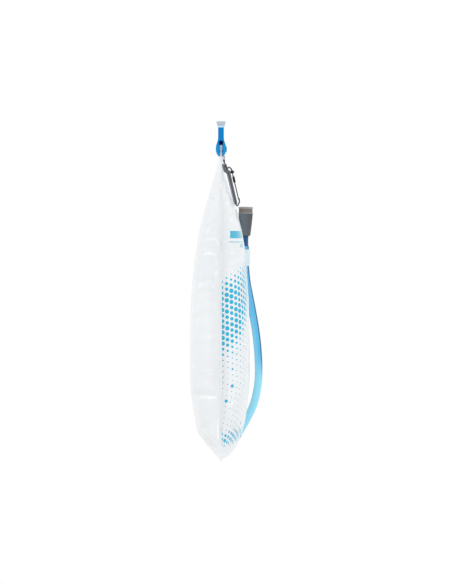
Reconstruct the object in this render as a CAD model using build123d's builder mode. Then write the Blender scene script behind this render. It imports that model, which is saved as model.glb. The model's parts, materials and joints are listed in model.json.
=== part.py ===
"""A two litre hydration bladder: a welded film pouch closed by a slide-lock rail, with a drink tube,
a bite valve and a hanging clip. Millimetres. The origin is the centre of the hang hole in the slider.
+Z is up, X runs along the slider and the pouch's printed front faces -Y."""

from build123d import *
import math
import os

os.makedirs("parts", exist_ok=True)

# ---------------------------------------------------------------- driving dimensions

# film pouch
film = 0.8
seam_margin = 1.0            # how far a working solid runs past the seam before the trim
weld_width = 7.0             # flat welded flange down both sides
bottom_weld = 1.8            # flat welded hem under the pouch
# Level, depth of the back, depth of the front, half width inside the weld, and how full the
# section is beside the weld and across its face (0.55 each is an ellipse, 0.9 and 0.75 a slab).
stations = [
    (-27.0, 1.5, 1.5, 89.0, 0.50, 0.60),
    (-43.0, 6.0, 2.8, 88.5, 0.45, 0.55),
    (-60.0, 11.5, 8.2, 87.0, 0.65, 0.66),
    (-86.0, 19.0, 17.4, 83.5, 0.80, 0.72),
    (-120.0, 27.6, 26.0, 79.0, 0.78, 0.70),
    (-163.0, 34.4, 31.4, 74.5, 0.80, 0.72),
    (-220.0, 38.0, 34.0, 72.0, 0.88, 0.75),
    (-290.0, 38.5, 34.9, 72.0, 0.90, 0.75),
    (-330.0, 34.6, 31.4, 74.0, 0.75, 0.68),
    (-357.0, 29.7, 26.5, 77.0, 0.45, 0.52),
    (-370.0, 23.5, 21.0, 79.0, 0.38, 0.46),
    (-380.0, 13.5, 14.5, 81.0, 0.35, 0.44),
    (-386.5, 7.0, 8.0, 82.5, 0.35, 0.44),
    (-390.0, 0.9, 0.9, 83.5, 0.35, 0.44),
]

# slide-lock rail
slider_length = 195.0
hang_hole_radius = 3.5
web_half = 3.4               # half thickness of the slider's neck
neck_top = 7.0
neck_bottom = -4.8
bulb_half = 6.2
bulb_top = -14.4
bulb_bottom = -20.8
bulb_shoulder = 0.4          # how much narrower the bulb is at its top
mouth_half = 3.8             # half width across the two jaws at their tips
slider_bottom = -26.0
relief_radius = 2.7
relief_level = -11.2
channel_half = 2.4
jaw_grip = 0.65              # how far each jaw tip closes in on the lips
jaw_tip_height = 2.4
lead_in = 1.4
end_cap_thickness = 3.0
end_cap_rib = 0.7
end_cap_plug = 3.0
grip_height = 7.4
grip_band = 1.6               # plain band under the flared strip
grip_top_half = 5.45
grip_bottom_half = 3.7
tongue_half = 1.6
tongue_height = 2.2
tongue_inset = 3.0           # how far it stops short of the rail's ends
grip_groove_count = 11
grip_groove_pitch = 5.0
grip_groove_width = 1.8
grip_groove_depth = 0.7
lip_inset = 2.5              # how far the lips end inside the rail's ends
lip_half = 1.3               # thickness of each lip's web
lip_top = -14.0
bead_gap = 0.25              # between a lip's bead and the channel it runs in
bead_height = 6.2

# drink tube: outer and inner radius, and its route from the bite valve down to the port
tube_radius = 4.75
arc_share = 0.45             # the part of a run that the arc at either end of it takes up
tube_bore = 3.2
tube_route = [
    (62.0, -28.9, -134.4),
    (62.0, -28.3, -166.0),
    (61.0, -36.6, -206.0),
    (60.5, -43.5, -246.0),
    (60.5, -46.0, -287.6),
    (62.0, -43.0, -312.0),
    (65.0, -36.3, -334.3),
]
hose_fit = 0.05              # between a barb and the hose stretched over it
barb_length = 11.0
water_bore = 1.8

# tube loop on the front panel
loop_length = 20.0
loop_offset = 14.0           # from the upper end of the hose to the middle of the loop
loop_clearance = 0.5
loop_wall = 1.2
loop_foot = 5.0
loop_foot_thickness = 1.1

# port in the front panel, at its lower corner
port_x = 66.5
port_z = -364.0
port_rise = 8.0              # from the film to the elbow's corner
port_pad_radius = 11.0
port_pad_height = 1.3
port_pad_round = 0.8
port_hub_radius = 5.9
port_hub_height = 3.6
port_depth = 3.0
elbow_stem_radius = 3.9
elbow_radius = 4.9
elbow_shoulder = 6.5
seat_clearance = 0.05
o_ring_section = 1.4

# bite valve
collar_radius = 4.1
collar_waist = 0.35
collar_length = 12.0
spigot_radius = 3.5
spigot_length = 17.5
stem_ring_share = 0.65       # how far up the spigot its ring sits
sleeve_length = 27.0
sleeve_low_radius = 6.1
sleeve_high_radius = 8.6
sleeve_chamfer = 0.6
sleeve_hollow = 0.9          # how far the flare stays inside its top radius at its middle
sleeve_middle = 0.55         # where that middle is, as a share of the length
sleeve_clearance = 0.06
valve_gap = 0.3
mouth_radius = 8.75
mouth_height = 8.2
mouth_groove = 0.5
mouth_rim = 0.9
mouth_dome_share = 0.75      # the dome is still this wide
mouth_dome_drop = 0.25       # this far under its top
mouth_wall = 1.6
mouth_seat_radius = 6.6       # where the mouthpiece grips the sleeve's neck
mouth_seat_height = 3.0
mouth_chamber_radius = 5.6
mouth_slit = 0.5
mouth_slit_length = 8.0

# hanging clip
anchor_x = -64.0
anchor_drop = 2.6            # from the slider's underside to the middle of the bar
anchor_stand = 3.4           # from the seam to the middle of the bar
anchor_bar_radius = 0.6
anchor_gap = 2.4             # between the two ears
anchor_ear = 1.2
anchor_pad_height = 7.0
cord_radius = 0.5
cord_fit = 0.05
cord_strand_radius = 0.6     # the doubled strand between its two loops
ferrule_radius = 1.15
ferrule_length = 3.2
eye_stand = 5.0              # from the seam to the middle of the clip's eye
eye_drop = 13.3              # from the bar to the middle of the clip's eye
eye_radius = 4.9
eye_rim = 2.3
eye_thickness = 2.2
eye_offset = 6.4             # from the middle of the eye to the spine
eye_web_drop = 3.0           # how far its web runs down the spine
clip_lean = 13.2             # degrees from vertical, down the slope of the front
clip_turn = 24.0             # degrees that its plane stands off the pouch
clip_length = 47.0
clip_width = 11.5            # from the spine to the gate
clip_wire = 0.8
bow_rise = 0.9               # from the middle of the eye up to the top of the bow
bow_shoulder = 0.2
bow_heel = -1.6              # where the bow turns down to the pin
nose_height = 8.8
gate_wire = 0.65
spine_half = 2.6
spine_tip_half = 1.9
spine_depth = 1.7
spine_corner = 1.0
spine_bevel = 0.4
spine_top = 3.0              # from the middle of the eye down to the moulding's upper end
spine_foot = 4.5             # from the clip's lowest point up to the end of the straight wire
spine_stop = 2.4             # from there up to the moulding's lower end
pin_radius = 0.5
pin_head_radius = 0.85
pin_head = 0.8
pin_fit = 0.05
pivot_drop = 6.2             # from the middle of the eye down to the gate's pin
fork_radius = 1.3
fork_cheek = 0.8
fork_gap = 0.15
nose_gap = 0.45
gate_tip_rise = 7.2          # from the clip's lowest point up to the gate's tip
gate_eye_radius = 1.15
gate_sleeve_radius = 1.45
gate_sleeve_round = 0.3
gate_sleeve_length = 7.5
gate_sleeve_drop = 5.1       # from the pin to the sleeve


def along(point, direction, distance):
    """The point that lies a distance from another, in a direction."""
    return Vector(*point) + Vector(*direction).normalized() * distance


# ---------------------------------------------------------------- film pouch


def half_pouch(front, inset):
    """Half of the filled pouch as a closed solid that runs past the seam, drawn in by inset."""
    side = -1 if front else 1
    bottom = stations[-1][0]
    with BuildPart() as half:
        for level, back_depth, front_depth, width, beside, across in stations:
            depth = side * ((front_depth if front else back_depth) - inset)
            width = width - inset
            lift = inset if level == bottom else 0
            with BuildSketch(Plane.XY.offset(level + lift)):
                with BuildLine():
                    Bezier((-width, 0), (-width, beside * depth), (-across * width, depth), (0, depth))
                    Bezier((0, depth), (across * width, depth), (width, beside * depth), (width, 0))
                    Polyline((width, 0), (width, -side * seam_margin), (-width, -side * seam_margin),
                             (-width, 0))
                make_face()
        loft()
    return half


def film_panel(front):
    """One welded film panel: its domed wall and the flat flange round it."""
    outline = [(width + weld_width, level) for level, _, _, width, _, _ in stations]
    corner_x, corner_z = outline[-1]
    hem = corner_z - bottom_weld
    outer = half_pouch(front, 0)
    inner = half_pouch(front, film)
    with BuildPart() as panel:
        with BuildSketch(Plane.XZ.offset(-seam_margin if front else seam_margin)):
            with BuildLine():
                Spline(*outline)
                Polyline((corner_x, corner_z), (corner_x, hem), (-corner_x, hem), (-corner_x, corner_z))
                Spline(*[(-x, z) for x, z in reversed(outline)])
                Line((-outline[0][0], outline[0][1]), outline[0])
            make_face()
        extrude(amount=(seam_margin + film) * (1 if front else -1))
        add(outer.part)
        add(inner.part, mode=Mode.SUBTRACT)
        split(bisect_by=Plane.XZ, keep=Keep.TOP if front else Keep.BOTTOM)
    return panel, outer


front_panel, front_outer = film_panel(front=True)
back_panel, _ = film_panel(front=False)
front_skin = front_outer.part.shells()[0]


def on_front(x, z):
    """The point on the front panel's outer face at x and z, and the face's outward normal there."""
    reach = Axis((x, -1000, z), (0, 1, 0))
    return front_skin.find_intersection_points(reach)[0]


# ---------------------------------------------------------------- slide-lock closure

lip_length = slider_length - 2 * lip_inset
lip_bottom = stations[0][0]
bead_half = channel_half - bead_gap
bead_low = lip_top - bead_height
bead_ramp = bead_half - lip_half


def closure_lip(side):
    """The moulded lip welded along the top of one panel, with the bead that the jaws hold."""
    with BuildPart() as lip:
        with BuildSketch(Plane.YZ.offset(-lip_length / 2)):
            with BuildLine():
                Polyline(
                    (0, lip_top),
                    (side * lip_half, lip_top),
                    (side * bead_half, lip_top - bead_ramp),
                    (side * bead_half, bead_low),
                    (side * lip_half, bead_low - bead_ramp),
                    (side * lip_half, lip_bottom),
                    (0, lip_bottom),
                    close=True,
                )
            make_face()
        extrude(amount=lip_length)
    return lip


front_lip = closure_lip(-1)
back_lip = closure_lip(1)

jaw_half = channel_half - jaw_grip
flare_start = slider_bottom + lead_in
jaw_top = flare_start + jaw_tip_height
slider_end = slider_length / 2
tongue_end = slider_end - tongue_inset


def rail_outline(x):
    """The slider's outer section, with no channel in it, on a plane across the rail."""
    with BuildSketch(Plane.YZ.offset(x)) as outline:
        with BuildLine():
            Polyline((0, neck_top), (web_half, neck_top), (web_half, neck_bottom))
            Spline((web_half, neck_bottom), (bulb_half - bulb_shoulder, bulb_top), (bulb_half, bulb_bottom),
                   tangents=[(0, -1), (0, -1)])
            Polyline((bulb_half, bulb_bottom), (mouth_half, slider_bottom), (0, slider_bottom))
            mirror(about=Plane.YZ)
        make_face()
    return outline.sketch


with BuildPart() as slider_body:
    extrude(rail_outline(-slider_end), amount=slider_length)
    with BuildSketch(Plane.YZ.offset(-tongue_end)):
        with Locations((0, neck_top)):
            Rectangle(2 * tongue_half, 2 * tongue_height)
    extrude(amount=2 * tongue_end)
    with BuildSketch(Plane.YZ.offset(-slider_end)):
        with Locations((0, relief_level)):
            Circle(relief_radius)
        with BuildLine():
            Polyline(
                (0, relief_level),
                (channel_half, relief_level - relief_radius / 2),
                (channel_half, jaw_top + jaw_grip),
                (jaw_half, jaw_top),
                (jaw_half, flare_start),
                (channel_half, slider_bottom),
                (0, slider_bottom),
            )
            mirror(about=Plane.YZ)
        make_face()
    extrude(amount=slider_length, mode=Mode.SUBTRACT)
    with BuildSketch(Plane.XZ):
        Circle(hang_hole_radius)
    extrude(amount=bulb_half, both=True, mode=Mode.SUBTRACT)

grip_top = neck_top + grip_height
with BuildPart() as slider_grip:
    with BuildSketch(Plane.YZ.offset(-slider_end)):
        with BuildLine():
            Polyline((0, neck_top), (web_half, neck_top), (grip_bottom_half, neck_top + grip_band),
                     (grip_top_half, grip_top), (0, grip_top))
            mirror(about=Plane.YZ)
        make_face()
    extrude(amount=slider_length)
    with BuildSketch(Plane.YZ.offset(-tongue_end)):
        with Locations((0, neck_top)):
            Rectangle(2 * tongue_half, 2 * tongue_height)
    extrude(amount=2 * tongue_end, mode=Mode.SUBTRACT)
    with BuildSketch(Plane.XY.offset(grip_top)):
        with GridLocations(grip_groove_pitch, 1, grip_groove_count, 1):
            Rectangle(grip_groove_width, 2 * grip_top_half)
    extrude(amount=-grip_groove_depth, mode=Mode.SUBTRACT)

with BuildPart() as slider_end_cap:
    extrude(rail_outline(slider_end), amount=end_cap_thickness)
    with BuildSketch(Plane.YZ.offset(slider_end)):
        with Locations((-bulb_half, (bulb_top + bulb_bottom) / 2)):
            Rectangle(2 * end_cap_rib, bulb_top - bulb_bottom)
    extrude(amount=end_cap_thickness)
    with BuildSketch(Plane.YZ.offset(slider_end)):
        with Locations((0, relief_level)):
            Circle(relief_radius)
    extrude(amount=-end_cap_plug)

# ---------------------------------------------------------------- port at the foot of the front

port_point, port_normal = on_front(port_x, port_z)
port_plane = Plane(origin=port_point, x_dir=(0, 0, 1), z_dir=port_normal)
elbow_corner = along(port_point, port_normal, port_rise)
tube_direction = Vector(*tube_route[-1]) - elbow_corner
tube_foot = along(elbow_corner, tube_direction, elbow_shoulder)
tube_points = [Vector(*point) for point in tube_route] + [tube_foot]
elbow_plane = Plane(origin=elbow_corner, x_dir=(1, 0, 0), z_dir=tube_direction)
port_seat_radius = elbow_stem_radius + seat_clearance
port_ring_radius = port_seat_radius - o_ring_section / 2
port_ring_height = port_hub_height / 2
port_groove = o_ring_section + 2 * seat_clearance

with BuildPart() as port_flange:
    with BuildSketch(port_plane.offset(-port_depth)):
        Circle(port_pad_radius)
    extrude(amount=port_depth + port_pad_height)
    fillet(port_flange.edges().filter_by(GeomType.CIRCLE).sort_by(SortBy.DISTANCE)[-1], port_pad_round)
    add(front_outer.part, mode=Mode.SUBTRACT)
    with BuildSketch(port_plane.offset(-port_depth)):
        Circle(port_hub_radius)
    extrude(amount=port_depth + port_hub_height)
    with BuildSketch(port_plane.offset(-port_depth)):
        Circle(port_seat_radius)
    extrude(amount=port_depth + port_hub_height, mode=Mode.SUBTRACT)

with BuildPart() as port_hole:
    with BuildSketch(port_plane.offset(-2 * port_depth)):
        Circle(port_hub_radius)
    extrude(amount=4 * port_depth)

with BuildPart() as port_o_ring:
    with BuildSketch(Plane(origin=port_point, x_dir=port_plane.x_dir, z_dir=port_plane.y_dir)):
        with Locations((port_ring_radius, -port_ring_height)):
            Circle(o_ring_section / 2)
    revolve(axis=Axis(port_point, port_normal))

with BuildPart() as port_elbow:
    with BuildSketch(port_plane.offset(-port_depth)):
        Circle(elbow_stem_radius)
    extrude(amount=port_depth + port_rise)
    with BuildSketch(port_plane.offset(port_ring_height - port_groove / 2)):
        Circle(elbow_stem_radius)
        Circle(port_ring_radius - o_ring_section / 2, mode=Mode.SUBTRACT)
    extrude(amount=port_groove, mode=Mode.SUBTRACT)
    with BuildSketch(port_plane.offset(port_hub_height + valve_gap)):
        Circle(elbow_radius)
    extrude(amount=port_rise - port_hub_height - valve_gap)
    with BuildSketch(Plane(origin=elbow_corner, x_dir=port_plane.z_dir, z_dir=port_plane.y_dir)):
        with BuildLine():
            CenterArc((0, 0), elbow_radius, 0, 180)
            Line((-elbow_radius, 0), (elbow_radius, 0))
        make_face()
    revolve(axis=Axis(elbow_corner, port_normal))
    with BuildSketch(elbow_plane):
        Circle(elbow_radius)
    extrude(amount=elbow_shoulder)
    with BuildSketch(elbow_plane.offset(elbow_shoulder)):
        Circle(tube_bore - hose_fit)
    extrude(amount=barb_length)
    with BuildSketch(port_plane.offset(-port_depth)):
        Circle(water_bore)
    extrude(amount=port_depth + port_rise, mode=Mode.SUBTRACT)
    with BuildSketch(elbow_plane):
        Circle(water_bore)
    extrude(amount=elbow_shoulder + barb_length, mode=Mode.SUBTRACT)

# ---------------------------------------------------------------- drink tube and its loop


def corner_radii(points):
    """The arc at each inner corner of a route: as large as its two runs allow."""
    radii = []
    for before, corner, after in zip(points, points[1:], points[2:]):
        turn = (corner - before).get_angle(after - corner)
        shorter = min((corner - before).length, (after - corner).length)
        radii.append(arc_share * shorter / math.tan(math.radians(turn) / 2))
    return radii


tube_radii = corner_radii(tube_points)
tube_run = tube_points[1] - tube_points[0]
with BuildPart() as drink_tube:
    with BuildLine() as tube_line:
        FilletPolyline(*tube_points, radius=tube_radii)
    with BuildSketch(Plane(origin=tube_points[0], z_dir=tube_run)):
        Circle(tube_radius)
        Circle(tube_bore, mode=Mode.SUBTRACT)
    sweep()
tube_length = sum(edge.length for edge in tube_line.edges())
tube_section = math.pi * (tube_radius**2 - tube_bore**2)
print("drink tube arcs", [round(radius, 1) for radius in tube_radii])
print("drink tube length", round(tube_length, 1), "volume against section times length",
      round(drink_tube.part.volume / (tube_section * tube_length), 4))

loop_middle = along(tube_points[0], tube_run, loop_offset)
loop_normal = on_front(loop_middle.X, loop_middle.Z)[1]
loop_bore = tube_radius + loop_clearance
loop_outer = loop_bore + loop_wall
loop_across = loop_normal.cross(tube_run).normalized()
loop_plane = Plane(origin=loop_middle, x_dir=loop_across, z_dir=tube_run)
loop_down = -1 if loop_plane.y_dir.dot(loop_normal) > 0 else 1
with BuildPart() as tube_loop:
    with BuildSketch(loop_plane):
        Circle(loop_outer)
        with Locations((0, loop_down * loop_outer / 2)):
            Rectangle(2 * loop_outer, loop_outer)
        with Locations((0, loop_down * (loop_bore + loop_foot_thickness))):
            Rectangle(2 * (loop_outer + loop_foot), 4 * loop_foot_thickness)
    extrude(amount=loop_length / 2, both=True)
    with BuildSketch(loop_plane):
        Circle(loop_bore)
        with Locations((0, loop_down * loop_outer)):
            Rectangle(2 * loop_bore, 2 * loop_outer)
    extrude(amount=loop_length, both=True, mode=Mode.SUBTRACT)
    add(front_outer.part, mode=Mode.SUBTRACT)

# ---------------------------------------------------------------- bite valve

valve_plane = Plane(origin=tube_points[0], x_dir=(1, 0, 0), z_dir=-tube_run)
sleeve_start = collar_length + valve_gap
spigot_end = sleeve_start + spigot_length
sleeve_end = sleeve_start + sleeve_length
stem_ring_radius = spigot_radius + seat_clearance - o_ring_section / 2
stem_ring_height = sleeve_start + spigot_length * stem_ring_share
stem_groove = o_ring_section + 2 * seat_clearance

with BuildPart() as valve_stem:
    with BuildSketch(valve_plane.offset(-barb_length)):
        Circle(tube_bore - hose_fit)
    extrude(amount=barb_length)
    with BuildSketch(Plane(origin=valve_plane.origin, x_dir=valve_plane.x_dir, z_dir=-valve_plane.y_dir)):
        with BuildLine():
            Line((0, 0), (collar_radius, 0))
            Spline((collar_radius, 0), (collar_radius - collar_waist, collar_length / 2),
                   (collar_radius, collar_length))
            Polyline((collar_radius, collar_length), (0, collar_length), (0, 0))
        make_face()
    revolve(axis=Axis(valve_plane.origin, valve_plane.z_dir))
    with BuildSketch(valve_plane.offset(collar_length)):
        Circle(spigot_radius)
    extrude(amount=valve_gap + spigot_length)
    with BuildSketch(valve_plane.offset(stem_ring_height - stem_groove / 2)):
        Circle(spigot_radius)
        Circle(stem_ring_radius - o_ring_section / 2, mode=Mode.SUBTRACT)
    extrude(amount=stem_groove, mode=Mode.SUBTRACT)
    with BuildSketch(valve_plane.offset(-barb_length)):
        Circle(water_bore)
    extrude(amount=barb_length + spigot_end, mode=Mode.SUBTRACT)

with BuildPart() as stem_o_ring:
    with BuildSketch(Plane(origin=valve_plane.origin, x_dir=valve_plane.x_dir, z_dir=-valve_plane.y_dir)):
        with Locations((stem_ring_radius, stem_ring_height)):
            Circle(o_ring_section / 2)
    revolve(axis=Axis(valve_plane.origin, valve_plane.z_dir))

with BuildPart() as bite_sleeve:
    with BuildSketch(Plane(origin=valve_plane.origin, x_dir=valve_plane.x_dir, z_dir=-valve_plane.y_dir)):
        with BuildLine():
            Polyline((0, sleeve_start), (sleeve_low_radius - sleeve_chamfer, sleeve_start),
                     (sleeve_low_radius, sleeve_start + sleeve_chamfer))
            Spline((sleeve_low_radius, sleeve_start + sleeve_chamfer),
                   (sleeve_high_radius - sleeve_hollow, sleeve_start + sleeve_middle * sleeve_length),
                   (sleeve_high_radius, sleeve_end))
            Polyline((sleeve_high_radius, sleeve_end), (mouth_seat_radius, sleeve_end),
                     (mouth_seat_radius, sleeve_end + mouth_seat_height), (0, sleeve_end + mouth_seat_height),
                     (0, sleeve_start))
        make_face()
    revolve(axis=Axis(valve_plane.origin, valve_plane.z_dir))
    with BuildSketch(valve_plane.offset(sleeve_start)):
        Circle(spigot_radius + sleeve_clearance)
    extrude(amount=spigot_length + valve_gap, mode=Mode.SUBTRACT)
    with BuildSketch(valve_plane.offset(sleeve_start)):
        Circle(water_bore)
    extrude(amount=sleeve_length + mouth_seat_height, mode=Mode.SUBTRACT)

mouth_top = sleeve_end + mouth_height
with BuildPart() as mouthpiece:
    with BuildSketch(Plane(origin=valve_plane.origin, x_dir=valve_plane.x_dir, z_dir=-valve_plane.y_dir)):
        with BuildLine():
            Polyline(
                (mouth_seat_radius, sleeve_end),
                (mouth_radius, sleeve_end),
                (mouth_radius, sleeve_end + mouth_rim),
                (mouth_radius - mouth_groove, sleeve_end + mouth_rim + mouth_groove),
                (mouth_radius - mouth_groove, mouth_top - 2 * mouth_rim - mouth_groove),
                (mouth_radius, mouth_top - 2 * mouth_rim),
                (mouth_radius, mouth_top - mouth_rim),
            )
            Spline((mouth_radius, mouth_top - mouth_rim),
                   (mouth_radius * mouth_dome_share, mouth_top - mouth_dome_drop), (0, mouth_top),
                   tangents=[(-mouth_rim, mouth_wall), (-1, 0)])
            Polyline((0, mouth_top), (0, mouth_top - mouth_wall),
                     (mouth_chamber_radius, mouth_top - mouth_wall),
                     (mouth_chamber_radius, sleeve_end + mouth_seat_height),
                     (mouth_seat_radius, sleeve_end + mouth_seat_height), (mouth_seat_radius, sleeve_end))
        make_face()
    revolve(axis=Axis(valve_plane.origin, valve_plane.z_dir))
    with BuildSketch(valve_plane.offset(mouth_top)):
        Rectangle(mouth_slit_length, mouth_slit)
    extrude(amount=-2 * mouth_wall, mode=Mode.SUBTRACT)

# ---------------------------------------------------------------- hanging clip

bar_centre = Vector(anchor_x, -anchor_stand, slider_bottom - anchor_drop)
ear_radius = anchor_bar_radius + cord_radius
ear_offset = anchor_gap / 2

with BuildPart() as cord_anchor:
    for x in (-ear_offset - anchor_ear, ear_offset):
        with BuildSketch(Plane.YZ.offset(anchor_x + x)):
            with Locations((bar_centre.Y, bar_centre.Z)):
                Circle(ear_radius)
            with BuildLine():
                Polyline((bar_centre.Y, bar_centre.Z + ear_radius), (0, bar_centre.Z + ear_radius),
                         (0, bar_centre.Z - anchor_pad_height), (bar_centre.Y - ear_radius, bar_centre.Z),
                         (bar_centre.Y, bar_centre.Z + ear_radius))
            make_face()
        extrude(amount=anchor_ear)
    with BuildSketch(Plane.YZ.offset(anchor_x - ear_offset)):
        with Locations((bar_centre.Y, bar_centre.Z)):
            Circle(anchor_bar_radius)
    extrude(amount=anchor_gap)
    add(front_outer.part, mode=Mode.SUBTRACT)

lean = math.radians(clip_lean)
turn = math.radians(clip_turn)
clip_down = Vector(0, -math.sin(lean), -math.cos(lean))
clip_out = Vector(0, -math.cos(lean), math.sin(lean))
clip_across = Vector(1, 0, 0) * math.cos(turn) + clip_out * math.sin(turn)
clip_normal = clip_out * math.cos(turn) - Vector(1, 0, 0) * math.sin(turn)
eye_centre = Vector(anchor_x, -eye_stand, bar_centre.Z - eye_drop)
clip_plane = Plane(origin=eye_centre + clip_across * eye_offset, x_dir=clip_across, z_dir=clip_normal)
rim_middle = eye_radius - eye_rim / 2
cord_ring = anchor_bar_radius + cord_radius + cord_fit
rim_ring = math.hypot(eye_rim, eye_thickness / math.cos(turn)) / 2 + cord_radius + cord_fit
rim_centre = eye_centre - clip_down * rim_middle
cord_top = bar_centre - Vector(0, 0, cord_ring)
cord_foot = rim_centre + Vector(0, 0, rim_ring)
cord_line = cord_foot - cord_top
ferrule_start = along(cord_top, cord_line, (cord_line.length - ferrule_length) / 2)

with BuildPart() as hang_cord:
    with BuildSketch(Plane.XZ.offset(anchor_stand)):
        with Locations((anchor_x, bar_centre.Z - cord_ring)):
            Circle(cord_radius)
    revolve(axis=Axis(bar_centre, (1, 0, 0)))
    with BuildSketch(Plane(origin=cord_top, z_dir=cord_line)):
        Circle(cord_strand_radius)
    extrude(amount=cord_line.length)
    with BuildSketch(Plane.XZ.offset(-rim_centre.Y)):
        with Locations((anchor_x, rim_centre.Z + rim_ring)):
            Circle(cord_radius)
    revolve(axis=Axis(rim_centre, (1, 0, 0)))

with BuildPart() as cord_ferrule:
    with BuildSketch(Plane(origin=ferrule_start, z_dir=cord_line)):
        Circle(ferrule_radius)
        Circle(cord_strand_radius, mode=Mode.SUBTRACT)
    extrude(amount=ferrule_length)

spine_bottom = clip_length - spine_foot
gate_reach = clip_length - pivot_drop - gate_tip_rise
bow_x = clip_width
pin_y = -pivot_drop
fork_half = gate_wire + fork_gap + fork_cheek
nose_x = clip_width + clip_wire + gate_wire + nose_gap
# The bent wire in the clip's own plane: from the fork over the bow, down the spine, round to the nose.
frame_points = [
    (bow_x, pin_y + fork_radius),
    (bow_x - clip_wire, bow_heel),
    (bow_x / 2, bow_rise),
    (clip_wire, bow_shoulder),
    (0, -spine_top - 2 * clip_wire),
    (0, -spine_bottom),
    (2 * clip_wire, -clip_length),
    (bow_x / 2, clip_wire - clip_length),
    (nose_x - clip_wire, nose_height / 2 - clip_length),
    (nose_x, nose_height - clip_length),
]


def wire_radii(points):
    """The arcs of a flat bent wire."""
    return corner_radii([Vector(x, y) for x, y in points])


with BuildPart() as clip_frame:
    with BuildLine(clip_plane):
        frame_line = FilletPolyline(*frame_points, radius=wire_radii(frame_points))
    with BuildSketch(Plane(origin=frame_line @ 0, z_dir=frame_line % 0)):
        Circle(clip_wire)
    sweep(path=frame_line)
    with BuildSketch(clip_plane):
        with Locations((bow_x, pin_y)):
            Circle(fork_radius)
        with Locations((bow_x, pin_y + fork_radius)):
            Rectangle(2 * fork_radius, 2 * fork_cheek)
    extrude(amount=fork_half, both=True)
    with BuildSketch(clip_plane):
        with Locations((bow_x, pin_y - fork_cheek)):
            Rectangle(4 * fork_radius, 2 * (fork_radius + fork_cheek))
    extrude(amount=gate_wire + fork_gap, both=True, mode=Mode.SUBTRACT)
    with BuildSketch(clip_plane):
        with Locations((bow_x, pin_y)):
            Circle(pin_radius)
    extrude(amount=fork_half, both=True, mode=Mode.SUBTRACT)

with BuildPart() as gate_pin:
    with BuildSketch(clip_plane):
        with Locations((bow_x, pin_y)):
            Circle(pin_radius)
    extrude(amount=fork_half, both=True)
    for side in (1, -1):
        with BuildSketch(clip_plane.offset(side * fork_half)):
            with Locations((bow_x, pin_y)):
                Circle(pin_head_radius)
        extrude(amount=side * pin_head)

with BuildPart() as clip_spine:
    with BuildSketch(clip_plane):
        with BuildLine():
            Polyline((-spine_half, -spine_top), (spine_half, -spine_top),
                     (spine_tip_half, spine_stop - clip_length),
                     (-spine_tip_half, spine_stop - clip_length), close=True)
        make_face()
        fillet(vertices(), spine_corner)
    extrude(amount=spine_depth, both=True)
    chamfer(faces().sort_by(Axis(clip_plane.origin, clip_plane.z_dir))[-1].edges(), spine_bevel)
    chamfer(faces().sort_by(Axis(clip_plane.origin, clip_plane.z_dir))[0].edges(), spine_bevel)
    with BuildSketch(clip_plane):
        with Locations((-eye_offset, 0)):
            Circle(eye_radius)
        with BuildLine():
            Polyline((-eye_offset, -eye_radius), (-spine_half / 2, -eye_radius - eye_web_drop),
                     (-spine_half / 2, -spine_top), (-eye_offset, 0), close=True)
        make_face()
        with Locations((-eye_offset, 0)):
            Circle(eye_radius - eye_rim, mode=Mode.SUBTRACT)
    extrude(amount=eye_thickness / 2, both=True)
    add(clip_frame.part, mode=Mode.SUBTRACT)

with BuildPart() as clip_gate:
    with BuildSketch(clip_plane):
        with Locations((bow_x, pin_y)):
            Circle(gate_eye_radius)
    extrude(amount=gate_wire, both=True)
    with BuildSketch(Plane(origin=clip_plane.from_local_coords((bow_x, pin_y, 0)), z_dir=clip_down)):
        Circle(gate_wire)
    extrude(amount=gate_reach)
    fillet(faces().sort_by(Axis(clip_plane.origin, clip_down))[-1].edges(), gate_wire / 2)
    with BuildSketch(clip_plane):
        with Locations((bow_x, pin_y)):
            Circle(pin_radius + pin_fit)
    extrude(amount=fork_half, both=True, mode=Mode.SUBTRACT)

sleeve_top = Plane(origin=clip_plane.from_local_coords((bow_x, pin_y - gate_sleeve_drop, 0)), z_dir=clip_down)
with BuildPart() as gate_sleeve:
    with BuildSketch(sleeve_top):
        Circle(gate_sleeve_radius)
    extrude(amount=gate_sleeve_length)
    fillet(gate_sleeve.edges().filter_by(GeomType.CIRCLE), gate_sleeve_round)
    with BuildSketch(sleeve_top):
        Circle(gate_wire)
    extrude(amount=gate_sleeve_length, mode=Mode.SUBTRACT)

# ---------------------------------------------------------------- files

with BuildPart() as front_panel_with_port:
    add(front_panel.part)
    add(port_hole.part, mode=Mode.SUBTRACT)

pieces = {
    "front_panel": front_panel_with_port,
    "back_panel": back_panel,
    "front_lip": front_lip,
    "back_lip": back_lip,
    "slider_body": slider_body,
    "slider_grip": slider_grip,
    "slider_end_cap": slider_end_cap,
    "port_flange": port_flange,
    "port_o_ring": port_o_ring,
    "port_elbow": port_elbow,
    "drink_tube": drink_tube,
    "tube_loop": tube_loop,
    "valve_stem": valve_stem,
    "stem_o_ring": stem_o_ring,
    "bite_sleeve": bite_sleeve,
    "mouthpiece": mouthpiece,
    "cord_anchor": cord_anchor,
    "hang_cord": hang_cord,
    "cord_ferrule": cord_ferrule,
    "clip_frame": clip_frame,
    "clip_spine": clip_spine,
    "clip_gate": clip_gate,
    "gate_sleeve": gate_sleeve,
    "gate_pin": gate_pin,
}
for name, piece in pieces.items():
    piece.part.label = name
    export_step(piece.part, f"parts/{name}.step")
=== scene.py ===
"""A filled hydration bladder hanging from its slider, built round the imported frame. Metres."""
import bpy
import json
import math
import random
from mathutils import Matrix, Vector, noise


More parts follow.
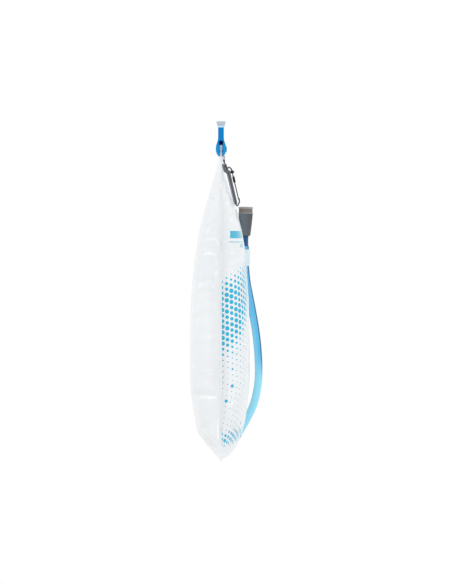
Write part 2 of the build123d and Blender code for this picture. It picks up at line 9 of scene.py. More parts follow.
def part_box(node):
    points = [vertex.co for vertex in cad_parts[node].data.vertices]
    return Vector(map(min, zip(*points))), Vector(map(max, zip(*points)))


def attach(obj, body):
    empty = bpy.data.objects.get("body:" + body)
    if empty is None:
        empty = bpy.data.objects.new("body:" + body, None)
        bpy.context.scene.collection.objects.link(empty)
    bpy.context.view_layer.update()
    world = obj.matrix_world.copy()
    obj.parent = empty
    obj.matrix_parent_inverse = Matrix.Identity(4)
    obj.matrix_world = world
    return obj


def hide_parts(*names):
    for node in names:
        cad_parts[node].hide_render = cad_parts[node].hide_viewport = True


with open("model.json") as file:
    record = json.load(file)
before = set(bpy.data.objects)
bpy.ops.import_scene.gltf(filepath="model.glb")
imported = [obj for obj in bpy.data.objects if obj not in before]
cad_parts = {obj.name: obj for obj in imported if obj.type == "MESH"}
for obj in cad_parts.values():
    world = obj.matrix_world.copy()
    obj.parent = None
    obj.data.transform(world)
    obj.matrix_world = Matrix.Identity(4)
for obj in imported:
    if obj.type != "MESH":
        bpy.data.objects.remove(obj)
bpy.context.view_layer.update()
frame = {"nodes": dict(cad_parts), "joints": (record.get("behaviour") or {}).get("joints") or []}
nodes_of = frame["nodes"]
mm = 0.001

# ---------------------------------------------------------------- camera

camera_distance = 22.0
view_height = 0.7008         # what the picture spans at the object, from top to bottom
view_centre = Vector((0.0, -0.006, -0.1896))
sensor = 36.0

camera_data = bpy.data.cameras.new("camera")
camera_data.sensor_width = sensor
camera_data.lens = sensor * camera_distance / view_height
camera_data.clip_end = 2 * camera_distance
camera = bpy.data.objects.new("camera", camera_data)
bpy.context.collection.objects.link(camera)
camera.location = view_centre - Vector((camera_distance, 0, 0))
camera.rotation_euler = (math.radians(90), 0, math.radians(-90))
bpy.context.scene.camera = camera

# ---------------------------------------------------------------- shader helpers


class Field:
    """What a node gives out at each place: a number, which takes plain arithmetic, a vector or a colour."""

    def __init__(self, graph, socket):
        self.graph = graph
        self.socket = socket

    def __add__(self, other):
        return self.graph.math("ADD", self, other)

    def __sub__(self, other):
        return self.graph.math("SUBTRACT", self, other)

    def __mul__(self, other):
        return self.graph.math("MULTIPLY", self, other)

    def __truediv__(self, other):
        return self.graph.math("DIVIDE", self, other)

    def __abs__(self):
        return self.graph.math("ABSOLUTE", self)

    def larger(self, other):
        """The larger of two numbers."""
        return self.graph.math("MAXIMUM", self, other)

    def step(self, low, high, out_low=0.0, out_high=1.0):
        """Goes smoothly from out_low, where the number is low, to out_high, where it is high."""
        made = self.graph.tree.nodes.new("ShaderNodeMapRange")
        made.interpolation_type = "SMOOTHSTEP"
        for socket, item in zip(made.inputs, (self, low, high, out_low, out_high)):
            self.graph.feed(socket, item)
        return Field(self.graph, made.outputs[0])

    def along(self, direction):
        """How far the vector reaches in a direction."""
        made = self.graph.node("ShaderNodeVectorMath", _0=self, _1=direction)
        made.operation = "DOT_PRODUCT"
        return Field(self.graph, made.outputs["Value"])

    def split(self):
        """The vector's three parts."""
        return [Field(self.graph, part) for part in self.graph.node("ShaderNodeSeparateXYZ", _0=self).outputs]


class Graph:
    """A node tree, and short ways to add nodes to it."""

    def __init__(self, tree):
        self.tree = tree

    def feed(self, socket, value):
        """Gives a socket a field or a constant."""
        if isinstance(value, Field):
            self.tree.links.new(value.socket, socket)
        else:
            socket.default_value = value

    def node(self, kind, **inputs):
        """A new node. Its inputs are given by name, or by number with a _ before it."""
        made = self.tree.nodes.new(kind)
        for key, value in inputs.items():
            number = key[1:]
            self.feed(made.inputs[int(number) if number.isdigit() else key.replace("_", " ")], value)
        return made

    def get(self, output, kind, **inputs):
        """What a new node gives out."""
        return Field(self, self.node(kind, **inputs).outputs[output])

    def math(self, operation, *values):
        made = self.tree.nodes.new("ShaderNodeMath")
        made.operation = operation
        for socket, value in zip(made.inputs, values):
            self.feed(socket, value)
        return Field(self, made.outputs[0])


# The colour sockets of a mix node. Its others are for numbers and vectors.
first_color, second_color, mixed_color = 6, 7, 2


class Shader(Graph):
    """A node material with a Principled surface, and short ways to feed that surface."""

    def __init__(self, name, color, roughness, **plain):
        self.material = bpy.data.materials.new(name)
        self.material.use_nodes = True
        super().__init__(self.material.node_tree)
        self.surface = self.tree.nodes["Principled BSDF"]
        plain.update(Base_Color=(*color, 1.0), Roughness=roughness)
        for key, value in plain.items():
            self.surface.inputs[key.replace("_", " ")].default_value = value

    def place(self):
        """The place on the piece, in metres from the frame's origin at rest."""
        return self.get("Object", "ShaderNodeTexCoord")

    def uv(self, name):
        """The place in one of the mesh's flat maps."""
        made = self.tree.nodes.new("ShaderNodeUVMap")
        made.uv_map = name
        return Field(self, made.outputs["UV"])

    def attribute(self, name):
        """A number that the mesh holds at each of its points."""
        made = self.tree.nodes.new("ShaderNodeAttribute")
        made.attribute_name = name
        return Field(self, made.outputs["Fac"])

    def noise(self, scale, detail=3.0, stretch=(1, 1, 1)):
        """Smooth random clouds from 0 to 1, scale of them to the metre."""
        spot = self.get(0, "ShaderNodeMapping", Vector=self.place(), Scale=stretch)
        return self.get("Fac", "ShaderNodeTexNoise", Vector=spot, Scale=scale, Detail=detail)

    def mix(self, factor, first, second):
        """The first colour where factor is 0, the second where it is 1."""
        made = self.tree.nodes.new("ShaderNodeMix")
        made.data_type = "RGBA"
        self.feed(made.inputs["Factor"], factor)
        for index, color in ((first_color, first), (second_color, second)):
            self.feed(made.inputs[index], color if isinstance(color, Field) else (*color, 1.0))
        return Field(self, made.outputs[mixed_color])

    def color(self, value):
        self.feed(self.surface.inputs["Base Color"], value)

    def roughness(self, value):
        self.feed(self.surface.inputs["Roughness"], value)

    def bump(self, height, distance, strength=1.0):
        normal = self.get("Normal", "ShaderNodeBump", Strength=strength, Distance=distance, Height=height)
        self.feed(self.surface.inputs["Normal"], normal)


# ---------------------------------------------------------------- form of the film pouch

film_flange = 0.8            # millimetres, as are all sizes up to the meshes themselves
weld_width = 7.0
hem = 1.8
# level, depth of the back, depth of the front, half width, fullness beside the weld and across
stations = [
    (-27.0, 1.5, 1.5, 89.0, 0.50, 0.60),
    (-43.0, 6.0, 2.8, 88.5, 0.45, 0.55),
    (-60.0, 11.5, 8.2, 87.0, 0.65, 0.66),
    (-86.0, 19.0, 17.4, 83.5, 0.80, 0.72),
    (-120.0, 27.6, 26.0, 79.0, 0.78, 0.70),
    (-163.0, 34.4, 31.4, 74.5, 0.80, 0.72),
    (-220.0, 38.0, 34.0, 72.0, 0.88, 0.75),
    (-290.0, 38.5, 34.9, 72.0, 0.90, 0.75),
    (-330.0, 34.6, 31.4, 74.0, 0.75, 0.68),
    (-357.0, 29.7, 26.5, 77.0, 0.45, 0.52),
    (-370.0, 20.8, 21.0, 79.0, 0.38, 0.46),
    (-380.0, 11.0, 14.5, 81.0, 0.35, 0.44),
    (-386.5, 5.0, 8.0, 82.5, 0.35, 0.44),
    (-390.0, 0.9, 0.9, 83.5, 0.35, 0.44),
]


def steady(levels, values):
    """Slopes of a curve through the values that never overshoots them."""
    chords = [(b - a) / (q - p) for p, q, a, b in zip(levels, levels[1:], values, values[1:])]
    slopes = [chords[0]]
    for before, after in zip(chords, chords[1:]):
        slopes.append(0.0 if before * after <= 0 else 2 * before * after / (before + after))
    return slopes + [chords[-1]]


station_levels = [row[0] for row in stations]
station_curves = [[row[i] for row in stations] for i in range(1, 6)]
station_slopes = [steady(station_levels, curve) for curve in station_curves]


def at_level(level):
    """Depth of the back and of the front, half width and the two fullnesses at a level."""
    level = max(station_levels[-1], min(station_levels[0], level))
    i = next(k for k in range(len(stations) - 1) if level >= station_levels[k + 1])
    gap = station_levels[i + 1] - station_levels[i]
    t = (level - station_levels[i]) / gap
    start, leave, end, arrive = 2 * t**3 - 3 * t**2 + 1, t**3 - 2 * t**2 + t, 3 * t**2 - 2 * t**3, t**3 - t**2
    return [
        start * curve[i] + leave * gap * slope[i] + end * curve[i + 1] + arrive * gap * slope[i + 1]
        for curve, slope in zip(station_curves, station_slopes)
    ]


def section_point(u, level, front):
    """A point on the plain pouch. At the welds' inner edges u is -1 and 1, at their outer ones -2 and 2."""
    back_depth, front_depth, width, beside, across = at_level(level)
    depth = front_depth if front else back_depth
    t = 1 - min(1.0, abs(u))
    a, b, c, d = (1 - t)**3, 3 * t * (1 - t)**2, 3 * t**2 * (1 - t), t**3
    x = width * (a + b + across * c) + max(0.0, abs(u) - 1) * weld_width
    y = math.hypot(depth * (beside * b + c + d), film_flange)
    return Vector((math.copysign(x, u), -y if front else y, level))


# ---------------------------------------------------------------- creases and folds of the film

crease_seed = {True: 11, False: 23}     # of the front and of the back, as in the next two
swell_seed = {True: 3.1, False: 8.7}
inset = {True: 0.6, False: 1.3}         # how far the film lies inside the solid on average
pucker_levels = (-64, -374)
pucker_count = 26                       # down each weld
pucker_span = 30                        # the furthest that a pucker shows above and below where it starts
pucker_bank = 0.55                      # the height of a pucker's banks, to the depth of its groove
fold_bank = 0.6                         # and of a long fold's
bank_spread = 2.2                       # how much wider than its groove the banks reach
fold_unit = 1.4                         # millimetres to 1 of the depths below
back_groove_level = -314
back_bank_level = -306

# Longer folds on the side towards -X: is it on the front, width, depth, how white it has gone (stress
# whitening with a painted highlight; below 0, painted shade in the crease), and its points (from the weld,
# level).
folds = [
    (False, 1.3, 1.2, 1.6, [(27, -124), (12, -126.6), (7, -124.7), (3.7, -129.6), (2, -137)]),
    (False, 1.2, 0.8, 0.6, [(9.7, -107), (10.4, -116)]),
    (False, 1.5, 1.0, 1.3, [(32, -145.6), (18, -143), (8, -144.4), (4, -147)]),
    (False, 1.8, 0.6, 1.0, [(6.2, -163), (5, -170)]),
    (False, 1.6, 0.6, 0.8, [(12, -183), (6, -184)]),
    (False, 1.0, 0.5, -0.5, [(28, -77), (3, -78)]),
    (False, 1.2, 0.8, 1.0, [(19, -243), (7, -243.6)]),
    (False, 1.2, 0.8, 1.0, [(17, -288), (7, -289)]),
    (False, 2.0, 0.6, 0.9, [(47, -277), (41, -282)]),
    (False, 1.3, 1.0, 0.9, [(41, -316), (2, -315)]),
    (False, 1.2, 0.7, 1.0, [(2.6, -338), (3.5, -372)]),
    (False, 2.2, 0.9, 0.5, [(47, -351), (30, -354), (14, -372)]),
    (False, 2.2, 0.7, 0.3, [(20, -196), (8, -203), (3, -212)]),
    (True, 1.5, 0.8, 0.8, [(9, -141), (22, -143)]),
    (True, 1.5, 0.6, 0.6, [(5, -161), (9, -165)]),
    (True, 2.0, 0.6, 0.6, [(43, -260), (48, -288)]),
    (True, 1.8, 0.8, 0.5, [(22, -318), (10, -322), (3, -330)]),
    (True, 1.6, 0.7, 0.3, [(5, -352), (12, -364), (19, -374)]),
]
# Where the port, the tube's loop and the cord's anchor keep the front flat: x, level, radius.
flat_spots = [(66.5, -364, 17), (60.0, -148, 20), (-64.0, -31, 10)]


def bell(value, width):
    return math.exp(-(value / width)**2)


def ramp(value, low, high):
    t = max(0.0, min(1.0, (value - low) / (high - low)))
    return t * t * (3 - 2 * t)


def puckers(seed):
    """Creases that start at a weld and die out over the panel: side, level, reach, depth, width, slope."""
    draw = random.Random(seed)
    top, bottom = pucker_levels
    found = []
    for side in (-1, 1):
        for i in range(pucker_count):
            level = top + (bottom - top) * (i + draw.uniform(0.1, 0.9)) / pucker_count
            found.append((side, level, draw.uniform(9, 30), draw.uniform(0.25, 1.1), draw.uniform(2.2, 5.0),
                          draw.uniform(-0.35, 0.35)))
    return found


def pucker_rise(x, level, from_weld, creases):
    """How far the puckers push the film out at a place. Each is a groove between two low banks."""
    rise = 0.0
    for side, start, reach, depth, width, slope in creases:
        if side * x > 0 and abs(level - start) < pucker_span:
            off = level - start - slope * from_weld
            along = (from_weld / reach) * math.exp(1 - from_weld / reach)
            rise -= depth * along * (bell(off, width) - pucker_bank * bell(off, bank_spread * width))
    return rise


def to_line(spot, points):
    """How far a place on the film is from a line of points on it, and how far along the line, 0 to 1."""
    near, along = math.inf, 0.0
    for i, ((a, b), (c, d)) in enumerate(zip(points, points[1:])):
        run = (c - a)**2 + (d - b)**2
        t = max(0.0, min(1.0, ((spot[0] - a) * (c - a) + (spot[1] - b) * (d - b)) / run))
        away = math.hypot(spot[0] - a - t * (c - a), spot[1] - b - t * (d - b))
        if away < near:
            near, along = away, (i + t) / (len(points) - 1)
    return near, along


def fold_rise(from_weld, level, front):
    """How far the long folds push the film out at a place. They are grooves between low banks too."""
    rise = 0.0
    for on_front, width, depth, _, points in folds:
        if on_front == front:
            near, along = to_line((from_weld, level), points)
            taper = 0.35 + 0.65 * math.sin(math.pi * along)
            profile = fold_bank * bell(near, bank_spread * width) - bell(near, width)
            rise += fold_unit * depth * taper * profile
    return rise


def fold_whitening_and_painted_light(from_weld, level, front):
    """How far the film has whitened along the long folds at a place, as stress whitening with a painted
    highlight; below 0, painted shade.
    """
    white = 0.0
    for on_front, width, _, whitening_and_light, points in folds:
        if on_front == front:
            near, along = to_line((from_weld, level), points)
            patchy = 0.75 + 0.5 * noise.noise(Vector((from_weld / 4, level / 4, 2.0)))
            taper = math.sin(math.pi * along)**0.7
            white += 0.85 * whitening_and_light * taper * patchy * bell(near, width * (0.5 + 0.8 * taper))
    return white


def swells(x, level, seed):
    """The film's broad and fine unevenness."""
    broad = 0.9 * noise.noise(Vector((x / 34, level / 46, seed)))
    fine = 0.35 * noise.noise(Vector((x / 13, level / 19, seed + 4)))
    return broad + fine


def gathers(x, level, seed):
    """Upright pleats where the pouch widens out under the rail."""
    pleat = math.cos(x / 9.5 + 1.2 * noise.noise(Vector((x / 40, 0.0, seed))))
    return 0.5 * pleat * ramp(level, -150, -70) * (1 - ramp(level, -50, -36))


def back_crease(x, level):
    """A crease on both sides of the back's middle, with a bank over it."""
    groove = bell(level - back_groove_level + 0.03 * x, 3.0)
    bank = bell(level - back_bank_level, 5.0)
    return (0.8 * bank - 1.5 * groove) * ramp(abs(x), 8, 40)


def relief(x, level, from_weld, front, creases):
    """How far the film stands out of its plain form, in millimetres."""
    seed = swell_seed[front]
    rise = pucker_rise(x, level, from_weld, creases) + swells(x, level, seed) + gathers(x, level, seed)
    if not front:
        rise += back_crease(x, level)
    rise -= inset[front]
    # All of it dies out at the welds, at the hem and at the lips.
    rise *= ramp(from_weld, 0, 9) * ramp(level, -386, -368) * (1 - ramp(level, -46, -34))
    if x < 0:
        rise += fold_rise(from_weld, level, front)
    if front:
        for spot_x, spot_level, radius in flat_spots:
            rise *= ramp(math.hypot(x - spot_x, level - spot_level), 0.7 * radius, 1.3 * radius)
    return rise


def ripple(level, side):
    """How far the weld waves in and out at its free edge."""
    slow = noise.noise(Vector((level / 26, 5.0 * side, 0.0)))
    quick = 0.5 * noise.noise(Vector((level / 9, side, 4.0)))
    return 0.8 * (slow + quick) * (1 - ramp(level, -46, -32)) * ramp(level, -390, -380)


# ---------------------------------------------------------------- film panels

row_count = 190
half_columns = 64
flange_columns = 4
film_thickness = 0.78
map_scale = 0.01             # the film's two maps are in hundreds of millimetres


def film_grid(front):
    """Where the columns of a panel stand, in section_point's terms, and its rows of points, still plain."""
    top, bottom = station_levels[0], station_levels[-1]
    levels = [top + (bottom - top) * i / (row_count - 1) for i in range(row_count)] + [bottom - hem]
    flange = [1 + (i + 1) / flange_columns for i in range(flange_columns)]
    middle = [i / half_columns for i in range(-half_columns, half_columns + 1)]
    spans = [-u for u in reversed(flange)] + middle + flange
    rows = [[section_point(u, level, front) for u in spans] for level in levels]
    for point in rows[-1]:
        point.y = math.copysign(film_flange, point.y)
    return spans, rows


def from_middle(row):
    """How far each point of a row is from the middle one, along the film."""
    centre = len(row) // 2
    run = [0.0] * len(row)
    for k in range(centre + 1, len(row)):
        run[k] = run[k - 1] + (row[k] - row[k - 1]).length
    for k in range(centre - 1, -1, -1):
        run[k] = run[k + 1] - (row[k] - row[k + 1]).length
    return run


def from_top(rows):
    """How far each row is from the first one, down the film's middle line."""
    centre = len(rows[0]) // 2
    run = [0.0]
    for above, below in zip(rows, rows[1:]):
        run.append(run[-1] + (below[centre] - above[centre]).length)
    return run


def outward(rows, j, k):
    """The way that the plain panel faces at a point of its grid."""
    row = rows[j]
    right = row[min(k + 1, len(row) - 1)] - row[max(k - 1, 0)]
    fall = rows[min(j + 1, len(rows) - 1)][k] - rows[max(j - 1, 0)][k]
    normal = right.cross(fall).normalized()
    return -normal if normal.y * row[k].y < 0 else normal


def film_skin(name, front):
    """One film panel as a fine sheet with its weld, creases and two maps of places on the film."""
    creases = puckers(crease_seed[front])
    spans, rows = film_grid(front)
    columns = len(spans)
    across = [from_middle(row) for row in rows]
    past_weld = [[abs(run) - abs(runs[flange_columns]) for run in runs] for runs in across]
    down = from_top(rows)
    vertices = []
    fold_whitening_and_light_values = []
    for j, row in enumerate(rows):
        for k, point in enumerate(row):
            from_weld = max(0.0, -past_weld[j][k])
            spot = point + outward(rows, j, k) * relief(point.x, point.z, from_weld, front, creases)
            beyond = abs(spans[k]) - 1
            if beyond > 0:
                spot.y += ripple(point.z, math.copysign(1, spans[k])) * beyond
            vertices.append(spot * mm)
            # The long folds' stress whitening with painted highlight, and painted shade where below 0, kept
            # at each point.
            fold_whitening_and_light_values.append(fold_whitening_and_painted_light(from_weld, point.z, front) if point.x < 0 and beyond <= 0 else 0.0)
    faces = []
    for j in range(len(rows) - 1):
        for k in range(columns - 1):
            corner = j * columns + k
            quad = (corner, corner + 1, corner + columns + 1, corner + columns)
            faces.append(quad[::-1] if front else quad)
    mesh = bpy.data.meshes.new(name)
    mesh.from_pydata(vertices, [], faces)
    mesh.attributes.new("white", "FLOAT", "POINT").data.foreach_set("value", fold_whitening_and_light_values)
    for map_name, sideways in (("film", across), ("weld", past_weld)):
        spots = mesh.uv_layers.new(name=map_name).data
        for loop in mesh.loops:
            j, k = divmod(loop.vertex_index, columns)
            spots[loop.index].uv = (sideways[j][k] * map_scale, -down[j] * map_scale)
    mesh.shade_smooth()
    skin = bpy.data.objects.new(name, mesh)
    bpy.context.collection.objects.link(skin)
    shell = skin.modifiers.new("film thickness", "SOLIDIFY")
    shell.thickness = film_thickness * mm
    shell.offset = -1
    return skin


# ---------------------------------------------------------------- the film's material and print

film_white = (0.87, 0.895, 0.91)
film_shade = (0.84, 0.87, 0.895)
weld_tone = (0.90, 0.91, 0.92)
# Painted highlight along the long folds, with stress whitening, and painted shade in a dark crease.
painted_fold_highlight = (1.0, 1.0, 1.0)
painted_fold_shade = (0.66, 0.68, 0.70)
ink = (0.012, 0.46, 0.70)
# All sizes and places of the weld's and the print's pattern are in hundreds of millimetres, as in the maps.
weld_edge = 0.004            # over which the film turns into weld
print_edge = 0.006           # over which the print fades out beside the weld
crimp_turns = 620.0          # radians to the map's unit, which is about a ridge to the millimetre

dot_pitch = 0.058
row_pitch = 0.067
row_slant = -0.33
dot_radius = 0.0255
print_blur = 0.001
smallest_dot = 0.06          # the share of the full radius under which a dot isn't printed
wave_turns = 3.0             # radians to the map's unit, of the two waves that bound the large dots
band_top = (-1.54, 0.20)     # middle and swing of the wave above the large dots
band_bottom = (-1.87, 0.43)  # and of the one below them
low_arc = -3.37              # where a last band of large dots crosses the middle of the panel
arc_bend = 0.12
print_end = -3.62            # where the faint dots end
# Plain bars over the dots: left and right end, foot and top, and how much ink they take.
bars = [
    (-0.79, -0.30, -1.02, -0.93, 0.95),
    (-0.81, -0.16, -1.07, -1.058, 0.7),
    (-0.58, -0.36, -1.13, -1.085, 0.6),
]


def dot_size(shader, centre_x, centre_y, chance):
    """The size of the dot with this centre, as a share of the full radius."""
    swing = shader.math("COSINE", centre_x * wave_turns)

    def above(middle, height):
        return centre_y - (swing * height + middle)

    # The large dots grow in just over the upper wave and shrink away under the lower one.
    under = above(*band_bottom)
    band = above(*band_top).step(0.34, 0.04) * under.step(-0.45, 0.05)
    # Below them comes a field of faint dots, which get smaller on the way down.
    faint = under.step(0.0, -0.15) * centre_y.step(print_end, print_end + 0.12)
    faint = faint * under.step(-0.75, -0.1, 0.25, 0.37)
    # A few strays in that field are large.
    stray = chance.step(0.93, 0.96) * under.step(-0.30, -0.5) * centre_y.step(-3.45, -3.3, 0.0, 0.75)
    # The last band bends down towards the welds.
    arc = centre_y + centre_x * centre_x * arc_bend
    low = abs(arc - low_arc).step(0.17, 0.03)
    return band.larger(low).larger(faint.larger(stray)) * chance.step(0.0, 1.0, 0.84, 1.06)


def halftone(shader):
    """1 inside the printed dots. Their size follows two waves across the panel, and a low arc under them."""
    across, down, _ = shader.uv("film").split()
    column = across / dot_pitch
    row = (down - across * row_slant) / row_pitch
    cell_x = shader.math("FLOOR", column) + 0.5
    cell_y = shader.math("FLOOR", row) + 0.5
    off_x = (column - cell_x) * dot_pitch
    off_y = (row - cell_y) * row_pitch + off_x * row_slant
    distance = shader.math("SQRT", off_x * off_x + off_y * off_y)
    centre_x = cell_x * dot_pitch
    centre_y = cell_y * row_pitch + centre_x * row_slant
    cell = shader.get(0, "ShaderNodeCombineXYZ", _0=cell_x, _1=cell_y)
    chance = shader.get("Value", "ShaderNodeTexWhiteNoise", Vector=cell)
    size = dot_size(shader, centre_x, centre_y, chance)
    radius = size * dot_radius
    shown = distance.step(radius + print_blur, radius - print_blur)
    shown = shown * shader.math("GREATER_THAN", size, smallest_dot)
    for left, right, foot, top, strength in bars:
        inside = across.step(left - print_blur, left + print_blur)
        inside = inside * across.step(right + print_blur, right - print_blur)
        inside = inside * down.step(foot - print_blur, foot + print_blur)
        inside = inside * down.step(top + print_blur, top - print_blur)
        shown = shown.larger(inside * strength)
    return shown


def film_material(name, printed):
    """Milky glossy film with a crimped weld, and on the printed panel a field of halftone dots."""
    shader = Shader(name, film_white, 0.24, Specular_IOR_Level=0.5)
    tone = shader.mix(shader.noise(14.0).step(0.35, 0.65), film_white, film_shade)
    edge = shader.uv("weld").split()[0]
    weld = edge.step(0.0, weld_edge)
    tone = shader.mix(weld, tone, weld_tone)
    # Along the long folds: painted highlight with stress whitening where the amount is over 0, painted shade
    # where it is under 0.
    fold_whitening_and_light = shader.attribute("white")
    tone = shader.mix(fold_whitening_and_light.step(0.0, 0.9), tone, painted_fold_highlight)
    tone = shader.mix(fold_whitening_and_light.step(0.0, -0.6), tone, painted_fold_shade)
    if printed:
        tone = shader.mix(halftone(shader) * edge.step(0.0, -print_edge), tone, ink)
    shader.color(tone)
    crimp = shader.math("SINE", edge * crimp_turns) * weld
    fine = shader.noise(70.0, 2.0, stretch=(1, 1, 0.6))
    shader.bump(fine * 0.4 + crimp * 0.3, 0.00015, 0.2)
    return shader.material


front_film = film_skin("front_film", front=True)
back_film = film_skin("back_film", front=False)
front_film.data.materials.append(film_material("printed film", printed=True))
back_film.data.materials.append(film_material("plain film", printed=False))
for film, node in ((front_film, "front_panel"), (back_film, "back_panel")):
    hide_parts(node)
    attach(film, "reservoir")

# ---------------------------------------------------------------- drink tube, in metres again

hose_radius = 4.75 * mm
# From the port's elbow up to the bite valve: part.py's route, the other way round.
hose_route = [
    (0.06907, -0.02074, -0.35999),
    (0.0650, -0.0363, -0.3343),
    (0.0620, -0.0430, -0.3120),
    (0.0605, -0.0460, -0.2876),
    (0.0605, -0.0435, -0.2460),
    (0.0610, -0.0366, -0.2060),
    (0.0620, -0.0283, -0.1660),
    (0.0620, -0.0289, -0.1344),
]
hose_deepens = (-0.300, -0.262)  # the heights between which its blue gets deeper

hose_curve = bpy.data.curves.new("drink_hose", "CURVE")
hose_curve.dimensions = "3D"
hose_curve.bevel_depth = 1.0
hose_curve.bevel_resolution = 8
hose_curve.resolution_u = 24
hose_curve.use_fill_caps = True
hose_line = hose_curve.splines.new("NURBS")
hose_line.points.add(len(hose_route) - 1)
for point, place in zip(hose_line.points, hose_route):
    point.co = (*place, 1.0)
    point.radius = hose_radius
hose_line.order_u = 3
hose_line.use_endpoint_u = True
hose = bpy.data.objects.new("drink_hose", hose_curve)
bpy.context.collection.objects.link(hose)
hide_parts("drink_tube")
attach(hose, "reservoir")


def hose_material():
    """Tinted clear hose, paler low down, with painted light on its side towards the pouch and a painted dark
    band of shade on its outer side.
    """
    shader = Shader("hose", (0.22, 0.62, 0.90), 0.12, Specular_IOR_Level=0.3, Coat_Weight=0.15,
                    Coat_Roughness=0.05)
    facing = shader.get("Normal", "ShaderNodeNewGeometry").split()[1]
    upper = shader.place().split()[2].step(*hose_deepens)
    # Colour set by which way the surface faces: painted light on the side towards the pouch, painted shade on
    # the far side.
    side = shader.mix(upper, (0.36, 0.83, 1.0), (0.30, 0.77, 1.0))
    away_side_painted_shade = shader.mix(upper, (0.34, 0.80, 1.0), (0.12, 0.56, 0.92))
    body = shader.mix(facing.step(-0.25, 0.65), away_side_painted_shade, side)
    # A painted dark band of shade along the hose's outer side, high up.
    painted_bore_shade = facing.step(-0.60, -0.70) * facing.step(-0.99, -0.92) * (upper * 0.95)
    shader.color(shader.mix(painted_bore_shade, body, (0.008, 0.10, 0.22)))
    shader.bump(shader.noise(240.0, 2.0), 0.00005)
    return shader.material


hose_curve.materials.append(hose_material())

# ---------------------------------------------------------------- finishes of the rigid pieces


def moulded(name, color, roughness, shade=0.93, **plain):
    """Moulded plastic or rubber: a fine grain, and a colour that varies a little over the piece."""
    shader = Shader(name, color, roughness, **plain)
    cloud = shader.noise(60.0, 2.0)
    darker = tuple(channel * shade for channel in color)
    shader.color(shader.mix(cloud.step(0.35, 0.65), color, darker))
    shader.roughness(cloud.step(0.3, 0.7, roughness * 0.85, min(1.0, roughness * 1.15)))
    shader.bump(shader.noise(2500.0, 4.0), 0.000008)
    return shader


def slider_finish():
    """Blue moulding, a little paler at its jaws, with a faint painted blue glow."""
    # The faint blue emission is a painted glow, which keeps the rail's deep bore dark blue instead of black.
    shader = moulded("slider blue", (0.0, 0.205, 0.55), 0.35, Specular_IOR_Level=0.12,
                     Emission_Color=(0.0, 0.15, 1.0, 1.0), Emission_Strength=0.03)
    jaws = shader.place().split()[2].step(-0.006, -0.014)
    shader.color(shader.mix(jaws, (0.0, 0.20, 0.53), (0.0, 0.28, 0.58)))
    return shader


def strip_finish():
    """Grey strip with a painted pale blue highlight along its foot."""
    grey = (0.45, 0.52, 0.60)
    shader = moulded("strip grey", grey, 0.5)
    # A painted highlight: a pale blue-white band along the strip's foot.
    foot = shader.place().split()[2].step(0.0090, 0.0082)
    shader.color(shader.mix(foot, grey, (0.54, 0.80, 0.95)))
    return shader


def lip_finish():
    """Clear lips with, over their end towards -X, painted blue light from the rail on their upper part and
    painted dark blue shade at their sides.
    """
    clear = (0.80, 0.82, 0.85)
    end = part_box("front_lip")[0].x
    shader = moulded("clear lip", clear, 0.3, shade=0.97)
    along, side, level = shader.place().split()
    # Painted blue light from the rail over the lips' upper part.
    painted_rail_light_and_shade = shader.mix(level.step(-0.0262, -0.0205), clear, (0.46, 0.56, 0.80))
    # Painted dark blue shade on the lips' sides, where the rail's jaws close round them.
    painted_rail_light_and_shade = shader.mix(abs(side).step(0.0013, 0.0020), painted_rail_light_and_shade, (0.03, 0.16, 0.36))
    shader.color(shader.mix(along.step(end + 0.0025, end + 0.0005), clear, painted_rail_light_and_shade))
    return shader


def sleeve_finish():
    """Grey rubber with painted light on the side towards the pouch and painted shade on the far side."""
    shader = moulded("valve grey", (0.105, 0.125, 0.15), 0.55)
    # Painted light and shade: lighter towards the pouch, darker on the far side.
    inner = shader.place().split()[1].step(-0.0385, -0.0215)
    shader.color(shader.mix(inner, (0.058, 0.065, 0.073), (0.165, 0.205, 0.24)))
    return shader


def mouthpiece_finish():
    """Pale silicone with a darker ring over the sleeve."""
    silicone = (0.40, 0.37, 0.345)
    shader = moulded("bite silicone", silicone, 0.6)
    level = shader.place().split()[2]
    ring = level.step(-0.0945, -0.0940) * level.step(-0.0892, -0.0898)
    shader.color(shader.mix(ring, silicone, (0.20, 0.18, 0.165)))
    return shader


def steel_finish():
    """Dark drawn wire."""
    shader = Shader("steel wire", (0.055, 0.058, 0.065), 0.3, Metallic=1.0)
    shader.roughness(shader.noise(500.0, stretch=(1, 1, 0.1)).step(0.3, 0.7, 0.22, 0.42))
    return shader


def slate_finish():
    """The clip's moulding, with painted shade on the outer side of the plane that its gate turns in and
    painted light on the other side.
    """
    shader = moulded("slate moulding", (0.24, 0.265, 0.31), 0.5)
    gate_hinge = next(joint for joint in frame["joints"] if joint["name"] == "gate_hinge")
    facing = -Vector(gate_hinge["axis"])
    off_middle = shader.place().along(facing) - facing.dot(Vector(gate_hinge["pos_m"]))
    # Painted light on one half and painted shade on the other, split at the gate's plane.
    shader.color(shader.mix(off_middle.step(-0.0002, 0.0006), (0.33, 0.365, 0.43), (0.06, 0.070, 0.088)))
    return shader


def dress(node, shader, bevel):
    """Gives a CAD node a finish, and a softened edge where bevel is over 0."""
    piece = nodes_of[node]
    for item in piece.material_slots:
        item.link = "OBJECT"
        item.material = shader.material
    if bevel:
        weld = piece.modifiers.new("weld", "WELD")
        weld.merge_threshold = 0.002 * mm
        edge = piece.modifiers.new("edge", "BEVEL")
        edge.width = bevel * mm
        edge.segments = 2
        edge.limit_method = "ANGLE"
        edge.angle_limit = math.radians(40)
        edge.use_clamp_overlap = True


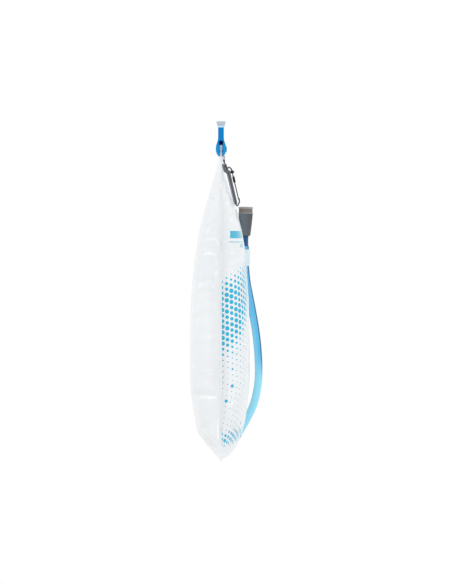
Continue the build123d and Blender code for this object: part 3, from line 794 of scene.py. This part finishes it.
slider_blue = slider_finish()
clear_lip = lip_finish()
clear_moulding = moulded("clear moulding", (0.86, 0.88, 0.90), 0.3, shade=0.97)
clear_loop = moulded("clear loop", (0.78, 0.90, 0.96), 0.2, shade=0.95)
fitting_blue = moulded("fitting blue", (0.012, 0.115, 0.27), 0.35, Specular_IOR_Level=0.25)
seal_black = moulded("seal", (0.02, 0.02, 0.02), 0.6)
cord_dark = moulded("cord", (0.03, 0.035, 0.05), 0.85)
sleeve_black = moulded("gate sleeve", (0.012, 0.012, 0.014), 0.55)
steel = steel_finish()
# Each node's finish, and how far its edges are softened, in millimetres.
finishes = {
    "front_lip": (clear_lip, 0.15),
    "back_lip": (clear_lip, 0.15),
    "slider_body": (slider_blue, 0.2),
    "slider_grip": (strip_finish(), 0.4),
    "slider_end_cap": (slider_blue, 0.4),
    "port_flange": (clear_moulding, 0.2),
    "port_o_ring": (seal_black, 0),
    "port_elbow": (fitting_blue, 0.25),
    "tube_loop": (clear_loop, 0.3),
    "valve_stem": (fitting_blue, 0.2),
    "stem_o_ring": (seal_black, 0),
    "bite_sleeve": (sleeve_finish(), 0.3),
    "mouthpiece": (mouthpiece_finish(), 0.15),
    "cord_anchor": (clear_moulding, 0.1),
    "hang_cord": (cord_dark, 0),
    "cord_ferrule": (steel, 0.1),
    "clip_frame": (steel, 0),
    "clip_spine": (slate_finish(), 0.15),
    "clip_gate": (steel, 0),
    "gate_sleeve": (sleeve_black, 0),
    "gate_pin": (steel, 0.08),
}
for node, (shader, bevel) in finishes.items():
    dress(node, shader, bevel)

# ---------------------------------------------------------------- floor, world and lamps

floor_level = -0.75
floor_half = 1.6
lamp_target = Vector((0.0, 0.0, -0.2))
sky_towards = (-0.60, 0.12, 0.45)       # the side that the sky's light comes from
sky_light = (0.56, 0.92)                # its strength straight across from that side, and on it


def studio_floor():
    """A pale square, far under the bladder."""
    corners = [(x * floor_half, y * floor_half, floor_level) for x, y in ((-1, -1), (1, -1), (1, 1), (-1, 1))]
    mesh = bpy.data.meshes.new("floor")
    mesh.from_pydata(corners, [], [(0, 1, 2, 3)])
    mesh.materials.append(Shader("floor", (0.9, 0.9, 0.9), 0.8).material)
    made = bpy.data.objects.new("floor", mesh)
    bpy.context.collection.objects.link(made)
    return made


def studio_world():
    """Plain white where it is seen, mirrored or looked through to. Its light is brighter from one side."""
    world = bpy.data.worlds.new("studio")
    bpy.context.scene.world = world
    world.use_nodes = True
    graph = Graph(world.node_tree)
    background = graph.tree.nodes["Background"]
    background.inputs["Color"].default_value = (1, 1, 1, 1)
    rays = graph.tree.nodes.new("ShaderNodeLightPath").outputs
    to_camera, mirrored, let_through = [Field(graph, rays[f"Is {kind} Ray"])
                                        for kind in ("Camera", "Glossy", "Transmission")]
    seen = to_camera.larger(mirrored).larger(let_through)
    towards = graph.get("Generated", "ShaderNodeTexCoord").along(sky_towards)
    far_side, near_side = sky_light
    shed = graph.get(0, "ShaderNodeMapRange", Value=towards, From_Min=-1.0, To_Min=far_side, To_Max=near_side)
    strength = graph.get(0, "ShaderNodeMix", Factor=seen, A=shed, B=1.0)
    graph.feed(background.inputs["Strength"], strength)


def lamp(name, place, size, energy):
    """A square lamp that faces the bladder."""
    data = bpy.data.lights.new(name, "AREA")
    data.size = size
    data.energy = energy
    made = bpy.data.objects.new(name, data)
    bpy.context.collection.objects.link(made)
    made.location = place
    made.rotation_euler = (lamp_target - Vector(place)).to_track_quat("-Z", "Y").to_euler()


floor = studio_floor()
studio_world()
lamp("key", (-1.5, 1.2, 0.9), size=0.5, energy=7)
lamp("side", (-1.3, -1.5, 0.6), size=0.5, energy=5)
lamp("left glint", (0.5, 1.7, 0.45), size=0.6, energy=2)
lamp("right glint", (0.5, -1.7, 0.45), size=0.6, energy=3)

bpy.context.scene.view_settings.view_transform = "Standard"
